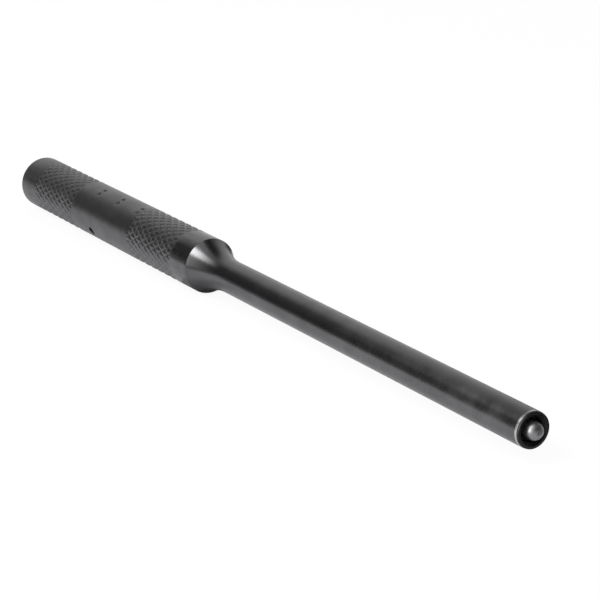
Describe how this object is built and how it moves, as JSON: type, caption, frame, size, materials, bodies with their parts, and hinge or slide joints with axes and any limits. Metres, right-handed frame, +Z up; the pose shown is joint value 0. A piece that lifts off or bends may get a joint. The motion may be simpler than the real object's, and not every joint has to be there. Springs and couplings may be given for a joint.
{
  "type": "pilot punch",
  "caption": "Slim knurled hand punch with a flared round shank and a sprung ball-nosed pilot in its dished end, for driving hollow spring pins.",
  "frame": {"origin": "Middle of the punch's length, on the surface that it lies on, under its axis.", "axes": "+X along the punch towards the pilot, +Z up, +Y to the left when looking along +X."},
  "size_m": [0.1538, 0.0096, 0.0095],
  "materials": {
    "handle_steel": "satin black oxide over a knurled bar",
    "shank_steel": "dark, finely ground along its length and polished at the flare",
    "pin_steel": "dull black oxide",
    "bush_steel": "dull black oxide",
    "pilot_steel": "satin bare steel",
    "spring_steel": "drawn spring wire"
  },
  "bodies": {
    "punch_body": {"handle": "handle_steel", "shank": "shank_steel", "cross_pin": "pin_steel", "guide_bush": "bush_steel", "pilot_spring": "spring_steel"},
    "pilot": {"pilot_pin": "pilot_steel"}
  },
  "joints": [
    {"name": "pilot_slide", "type": "slide", "parent": "punch_body", "child": "pilot", "axis": [1, 0, 0], "range_m": [-0.00132, 0], "stiffness_N_per_m": 1000, "deforming": ["pilot_spring"]}
  ]
}
